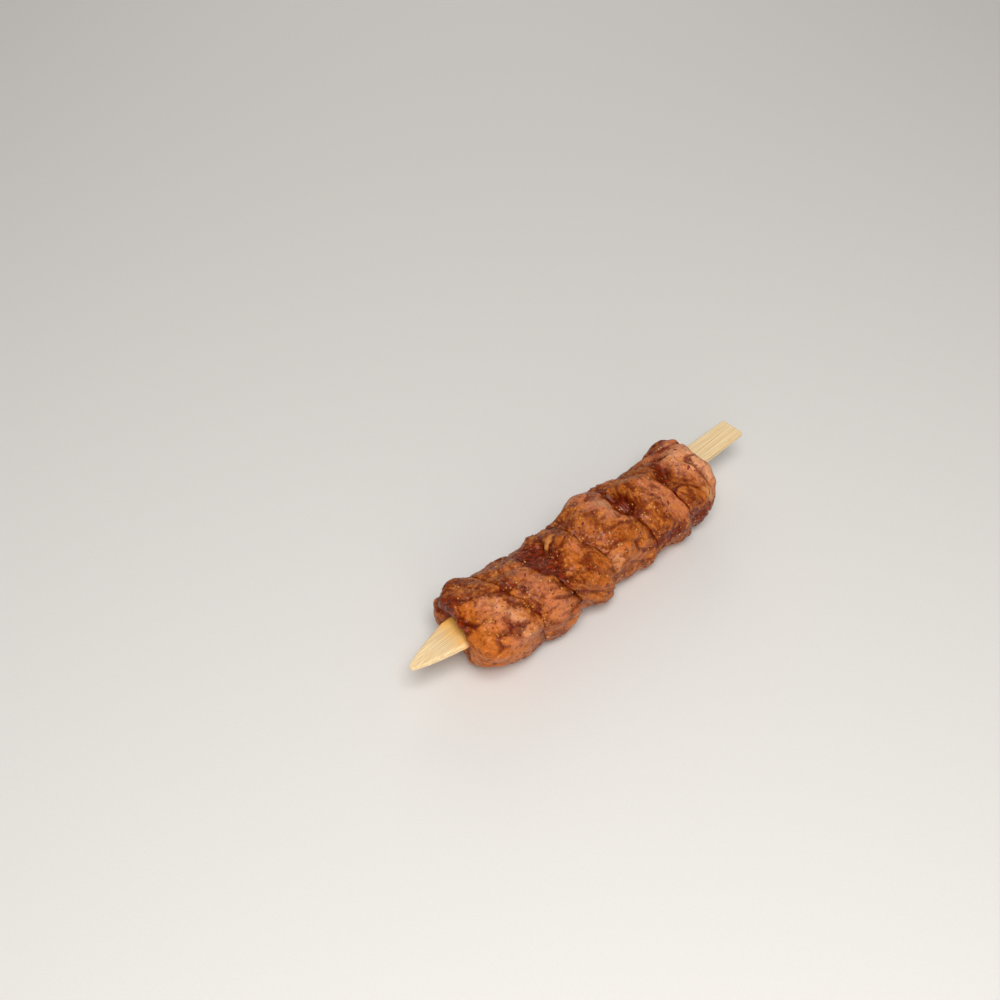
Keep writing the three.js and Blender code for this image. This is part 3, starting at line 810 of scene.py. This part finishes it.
class Finish:
    """A material being built, with its shader and short names for the nodes that feed it."""

    def __init__(self, name):
        self.material = bpy.data.materials.new(name)
        self.material.use_nodes = True
        self.tree = self.material.node_tree
        self.shader = self.tree.nodes["Principled BSDF"]

    def add(self, kind, inputs, output=0, **settings):
        """Adds a node, sets its settings and its inputs, and returns one output."""
        node = self.tree.nodes.new(f"ShaderNode{kind}")
        for key, value in settings.items():
            setattr(node, key, value)
        self.feed(node, inputs)
        return node.outputs[output]

    def feed(self, node, inputs):
        """Wires an input to a socket, or sets it to a value."""
        for key, value in inputs.items():
            if isinstance(value, bpy.types.NodeSocket):
                self.tree.links.new(value, node.inputs[key])
            else:
                node.inputs[key].default_value = value

    def place(self, scale=(1, 1, 1)):
        """Object coordinates, in metres, times a scale."""
        where = self.add("TexCoord", {}, output="Object")
        return self.add("Mapping", {"Vector": where, "Scale": scale})

    def stored(self, name, output="Fac"):
        """An attribute of the mesh."""
        return self.add("Attribute", {}, output=output, attribute_name=name)

    def cloud(self, where, scale, detail=3.0, roughness=0.55):
        """Noise from 0 to 1."""
        inputs = {"Vector": where, "Scale": scale, "Detail": detail, "Roughness": roughness}
        return self.add("TexNoise", inputs)

    def window(self, value, low, high, start=0.0, end=1.0):
        """A smooth step from start, where value is low, to end, where it is high."""
        inputs = {"Value": value, "From Min": low, "From Max": high, "To Min": start, "To Max": end}
        return self.add("MapRange", inputs, interpolation_type="SMOOTHSTEP")

    def math(self, operation, first, second=0.0):
        """One operation of arithmetic on two values, or on the first alone."""
        return self.add("Math", {0: first, 1: second}, operation=operation)

    def ragged(self, weight, cloud):
        """A weight plus RAGGEDNESS times a noise's distance from its middle, so that an edge is ragged."""
        swing = self.math("MULTIPLY", self.math("SUBTRACT", cloud, 0.5), RAGGEDNESS)
        return self.math("ADD", weight, swing)

    def mix(self, share, first, second):
        """The first colour where share is 0, and the second where it is 1."""
        return self.add("Mix", {0: share, 6: first, 7: second}, output=2, data_type="RGBA")

    def over(self, colour, layers):
        """A colour with others laid over it in turn, each by its share."""
        for share, layer in layers:
            colour = self.mix(share, colour, layer)
        return colour

    def finish(self, pieces, **sockets):
        """Sets the shader's own sockets and gives the material to the pieces."""
        self.feed(self.shader, {key.replace("_", " "): value for key, value in sockets.items()})
        for piece in pieces:
            piece.data.materials.clear()
            piece.data.materials.append(self.material)
        print(self.material.name, "has", len(self.tree.nodes), "nodes")


print("middle grey in linear light:", round(srgb(128, 128, 128)[0], 3))

# %% [markdown]
# ## Marinated lamb
# What gives raw meat away is that light goes a little way in and comes out redder, and that its surface is
# moist but not polished. So the finish has subsurface scattering with a long red reach, a thin coat for the
# oil, and an uneven roughness. Its colour starts from streaks along the grain, takes on the stored tints with
# ragged edges, among them painted light, takes painted shade in the grooves and painted light on the crests
# of the fibre relief, goes dark red where painted shade and pooled marinade lie, and is broken up by ground
# spice: clumps, and small cells, some dark, some pale.

# %% Lamb finish
LAMB = dict(
    # deep and crest also serve as painted shade in the grooves and painted light on the crests of the relief.
    deep=srgb(98, 31, 5),
    body=srgb(140, 64, 16),
    crest=srgb(192, 109, 38),
    vein=srgb(208, 140, 76),
    # The next two colour the painted shade and the marinade pooled with it.
    shaded_pool=srgb(72, 12, 0),
    wine=srgb(130, 38, 5),
    # The next three are partly the lamb's own tones and partly painted light and painted highlights.
    amber=srgb(202, 109, 32),
    pink=srgb(216, 132, 92),
    pale=srgb(236, 176, 134),
    pepper=srgb(84, 34, 12),
    grit=srgb(222, 158, 80),
    clump=srgb(204, 122, 54),
)
PATCHES = dict(scale=420, detail=4, roughness=0.65)  # scales are in cells per metre
CLUMPS = dict(scale=290, detail=3, roughness=0.6)
SPECKS = dict(Scale=900.0, Randomness=1.0)
GRAIN_SQUEEZE = (1.0, 0.09, 1.0)  # streaks are eleven times as long as they are wide


def lamb_finish():
    """The finish of all six chunks, which read their grain and tints from their own attributes."""
    lamb = Finish("marinated_lamb")
    where = lamb.place()
    strands = lamb.add("Mapping", {"Vector": lamb.stored("grain", "Vector"), "Scale": GRAIN_SQUEEZE})
    broad = lamb.cloud(where, 130, detail=4)
    streaks = lamb.cloud(strands, 0.75, detail=5, roughness=0.65)
    fine = lamb.cloud(strands, 2.6, roughness=0.7)
    patch = lamb.cloud(where, **PATCHES)
    clumps = lamb.cloud(where, **CLUMPS)
    relief = lamb.stored("relief")

    near_middle = lamb.math("ABSOLUTE", lamb.math("SUBTRACT", streaks, 0.5))  # pale veins run where it is 0
    vein = lamb.math("MULTIPLY", lamb.window(near_middle, 0.012, 0.0), lamb.window(broad, 0.5, 0.62))
    layers = [
        (lamb.window(streaks, 0.42, 0.66, 0, 0.85), LAMB["crest"]),
        (lamb.window(fine, 0.56, 0.7, 0, 0.3), LAMB["crest"]),
        (lamb.window(fine, 0.44, 0.3, 0, 0.3), LAMB["deep"]),
        (lamb.math("MULTIPLY", vein, 0.7), LAMB["vein"]),
    ]
    # Amber, pink and pale: partly the lamb's own tones, partly painted light on lit sides and painted
    # highlights.
    for kind, strength in (("amber", 0.65), ("pink", 0.65), ("pale", 0.6)):
        uneven = lamb.ragged(lamb.stored(kind), patch)
        layers.append((lamb.window(uneven, 0.15, 0.8, 0, strength), LAMB[kind]))
    # Darker red where the stored weight lies: painted shade with some pooled marinade, its edge ragged.
    ragged_shade_and_pool = lamb.ragged(lamb.stored("dark"), patch)
    shade_and_pool_colour = lamb.mix(lamb.window(streaks, 0.4, 0.6), LAMB["shaded_pool"], LAMB["wine"])
    layers += [
        # Painted shade in the grooves of the fibre relief, and painted light on its crests.
        (lamb.window(relief, 0.4, 0.05, 0, 0.6), LAMB["deep"]),
        (lamb.window(relief, 0.5, 0.9, 0, 0.5), LAMB["crest"]),
        (lamb.window(clumps, 0.5, 0.68, 0, 0.65), LAMB["clump"]),
        (lamb.window(clumps, 0.48, 0.3, 0, 0.66), LAMB["deep"]),
        (lamb.window(ragged_shade_and_pool, 0.15, 0.6, 0, 0.92), shade_and_pool_colour),
    ]

    cells = dict(Vector=where, **SPECKS)
    speck = lamb.window(lamb.add("TexVoronoi", cells), 0.38, 0.26)
    kind = lamb.add("SeparateColor", {"Color": lamb.add("TexVoronoi", cells, output=1)})
    pepper = lamb.math("MULTIPLY", speck, lamb.window(kind, 0.8, 0.84, 0, 0.6))
    gathered = lamb.window(lamb.cloud(where, 90, detail=2), 0.4, 0.6, 0.25, 0.75)
    grit = lamb.math("MULTIPLY", speck, lamb.window(kind, 0.22, 0.18))
    layers += [(pepper, LAMB["pepper"]), (lamb.math("MULTIPLY", grit, gathered), LAMB["grit"])]
    colour = lamb.over(lamb.mix(lamb.window(broad, 0.3, 0.66), LAMB["deep"], LAMB["body"]), layers)

    height = lamb.math("ADD", fine, lamb.math("MULTIPLY", patch, 0.8))
    height = lamb.math("ADD", height, lamb.math("MULTIPLY", speck, 0.25))
    roughness = lamb.window(patch, 0.35, 0.7, 0.36, 0.62)
    roughness = lamb.math("SUBTRACT", roughness, lamb.math("MULTIPLY", lamb.stored("dark"), 0.1))
    lamb.finish(
        chunks,
        Base_Color=colour,
        Roughness=roughness,
        Normal=lamb.add("Bump", {"Height": height, "Strength": 0.4, "Distance": 0.0003}),
        Specular_IOR_Level=0.1,
        Subsurface_Weight=0.2,
        Subsurface_Radius=(1.0, 0.3, 0.1),
        Subsurface_Scale=0.0018,
        Coat_Weight=0.15,
        Coat_Roughness=0.22,
    )


lamb_finish()

# %% [markdown]
# ## Fat, chilli, seeds and herbs
# Fat is smoother than muscle, lets light deeper in, and takes the meat's colour towards its rim. Chilli skin
# is thin and dark red, its seeds are pale, and the herbs are almost black where they are wet.

# %% Finishes of fat and spice
FAT_COLOURS = dict(
    ochre=srgb(196, 122, 48),
    pale=srgb(224, 162, 98),
    stain=srgb(140, 66, 22),
    edge=srgb(160, 80, 24),
)


def plain_finish(piece, name, pale, deep, size, roughness):
    """Two colours mixed by a noise whose patches are about size metres, and a bump of a tenth of that."""
    made = Finish(name)
    cloud = made.cloud(made.place(), 1 / size)
    colour = made.mix(made.window(cloud, 0.38, 0.64), deep, pale)
    bump = made.add("Bump", {"Height": cloud, "Strength": 0.4, "Distance": size / 10})
    made.finish([piece], Base_Color=colour, Normal=bump, Roughness=roughness)


def fat_finish():
    """Ochre to pale orange by a noise, then the meat's colour towards the rim, then stains of marinade."""
    stained = Finish("stained_fat")
    where = stained.place()
    patch = stained.cloud(where, **PATCHES)
    clumps = stained.cloud(where, **CLUMPS)
    near_rim = stained.ragged(stained.stored("rim"), patch)
    layers = [
        (stained.window(near_rim, 0.4, 0.95, 0, 0.9), FAT_COLOURS["edge"]),
        (stained.window(clumps, 0.52, 0.36, 0, 0.85), FAT_COLOURS["stain"]),
    ]
    colour = stained.mix(stained.window(patch, 0.35, 0.65), FAT_COLOURS["ochre"], FAT_COLOURS["pale"])
    stained.finish(
        [fat],
        Base_Color=stained.over(colour, layers),
        Roughness=0.45,
        Normal=stained.add("Bump", {"Height": patch, "Strength": 0.4, "Distance": 0.0003}),
        Specular_IOR_Level=0.2,
        Subsurface_Weight=0.35,
        Subsurface_Radius=(1.0, 0.4, 0.2),
        Subsurface_Scale=0.002,
        Coat_Weight=0.12,
        Coat_Roughness=0.22,
    )


fat_finish()
plain_finish(chilli, "chilli_skin", srgb(158, 48, 18), srgb(92, 20, 8), 0.0008, 0.5)
plain_finish(seeds, "pale_seed", srgb(226, 176, 104), srgb(178, 116, 58), 0.0012, 0.5)
plain_finish(herbs, "dark_herb", srgb(74, 52, 20), srgb(38, 22, 10), 0.0008, 0.55)

# %% [markdown]
# ## Bamboo
# Split bamboo is pale straw with fine, straight, slightly darker fibres and small dark dashes where vessels
# were cut. Noise stretched about eighty times along the skewer gives the fibres. Close to the meat the wood
# turns golden, partly from oil that it has soaked up and partly from painted orange light reflected from the
# meat, further towards the point than towards the square end.

# %% Bamboo finish
WOOD = dict(
    straw=srgb(244, 221, 178),
    fibre=srgb(219, 186, 134),
    vessel=srgb(168, 122, 66),
    # Partly oil stain, partly painted orange light reflected from the meat.
    stained=srgb(255, 190, 80),
)
# The golden band near the meat is partly oil stain and partly painted orange light reflected from the meat.
STAIN_AND_BOUNCE_MIDDLE = -0.0065  # in metres along the skewer
STAIN_AND_BOUNCE_REACH = (0.084, 0.070)  # the distances from there where the stain begins and where it is full


def bamboo_finish():
    """Straw-coloured wood with stretched fibres, cut vessels, and a golden band that fades from the meat:
    partly oil stain, partly painted orange light reflected from the meat.
    """
    wood = Finish("split_bamboo")
    fibres = wood.cloud(wood.place(scale=(0.012, 1, 1)), 2600, detail=4, roughness=0.6)
    bands = wood.cloud(wood.place(scale=(0.03, 1, 0.4)), 420, detail=2)
    dashes = wood.cloud(wood.place(scale=(0.05, 1, 1)), 3200, detail=1)
    along = wood.add("SeparateXYZ", {"Vector": wood.place()})
    from_middle = wood.math("ABSOLUTE", wood.math("SUBTRACT", along, STAIN_AND_BOUNCE_MIDDLE))
    ragged = wood.math("ADD", from_middle, wood.math("MULTIPLY", bands, 0.012))
    layers = [
        (wood.window(bands, 0.5, 0.7, 0, 0.35), WOOD["fibre"]),
        (wood.window(dashes, 0.7, 0.76, 0, 0.6), WOOD["vessel"]),
        # The golden band near the meat: oil stain and painted reflected light.
        (wood.window(ragged, *STAIN_AND_BOUNCE_REACH, 0, 0.9), WOOD["stained"]),
    ]
    wood.finish(
        [skewer],
        Base_Color=wood.over(wood.mix(wood.window(fibres, 0.42, 0.64), WOOD["straw"], WOOD["fibre"]), layers),
        Roughness=wood.window(ragged, *STAIN_AND_BOUNCE_REACH, 0.62, 0.42),
        Normal=wood.add("Bump", {"Height": fibres, "Strength": 0.35, "Distance": 0.0002}),
    )


bamboo_finish()

# %% [markdown]
# ## Floor, light and camera
# A plain pale floor, a large soft light high above the camera, a weaker, warmer one below it, a faint one
# from behind and an even, warm world are a product photographer's table. The camera looks down at 45 degrees,
# from the front left of the kebab.

# %% Stage
FLOOR_SIZE = 4.0
WARM_WHITE = (1.0, 0.97, 0.93)
SOFT_AMBER = (1.0, 0.92, 0.82)
WORLD_STRENGTH = 0.25

floor_corners = FLOOR_SIZE / 2 * np.array([(-1, -1, 0), (1, -1, 0), (1, 1, 0), (-1, 1, 0)])
floor_mesh = bpy.data.meshes.new("floor")
floor_mesh.from_pydata(floor_corners.tolist(), [], [(0, 1, 2, 3)])
floor = add_object("floor", floor_mesh)
paper = Finish("pale_paper")
tooth = paper.cloud(paper.place(), 900, detail=2)
paper_colour = paper.mix(tooth, srgb(222, 223, 224), srgb(228, 229, 230))
paper.finish([floor], Base_Color=paper_colour, Roughness=0.8)

world = bpy.data.worlds.new("studio")
bpy.context.scene.world = world
world.use_nodes = True
background = world.node_tree.nodes["Background"]
background.inputs["Color"].default_value = (*SOFT_AMBER, 1)
background.inputs["Strength"].default_value = WORLD_STRENGTH


def soft_light(name, place, size, watts, colour):
    """A square area light that faces the kebab."""
    data = bpy.data.lights.new(name, "AREA")
    data.size = size
    data.energy = watts
    data.color = colour
    light = add_object(name, data)
    light.location = place
    light.rotation_euler = (-Vector(place)).to_track_quat("-Z", "Y").to_euler()
    print(name, "light:", watts, "W")


soft_light("key", (-0.35, -0.38, 0.88), 0.42, 7.6, WARM_WHITE)
soft_light("fill", (-0.5, -0.6, 0.3), 0.6, 2.1, SOFT_AMBER)
soft_light("back", (0.5, 0.6, 0.5), 0.5, 1.0, WARM_WHITE)

# %% Camera
CAMERA = dict(
    place=(-355.1, -307.3, 492.12),
    forward=(0.4981, 0.5019, -0.7071),
    up=(0.4981, 0.5019, 0.7071),
)
FOCAL_PIXELS = 1590
FRAME_PIXELS = 1000
SENSOR_MM = 36
camera_data = bpy.data.cameras.new("camera")
camera_data.sensor_width = SENSOR_MM
camera_data.lens = SENSOR_MM * FOCAL_PIXELS / FRAME_PIXELS
camera = add_object("camera", camera_data)
backward = -Vector(CAMERA["forward"])
right = Vector(CAMERA["up"]).cross(backward)
turned = Matrix((right, Vector(CAMERA["up"]), backward)).transposed().to_4x4()
camera.matrix_world = Matrix.Translation((np.array(CAMERA["place"]) + SKEWER_MIDDLE) * MM) @ turned
bpy.context.scene.camera = camera
bpy.context.scene.view_settings.view_transform = "Standard"
print("camera at", tuple(round(value, 3) for value in camera.matrix_world.translation))
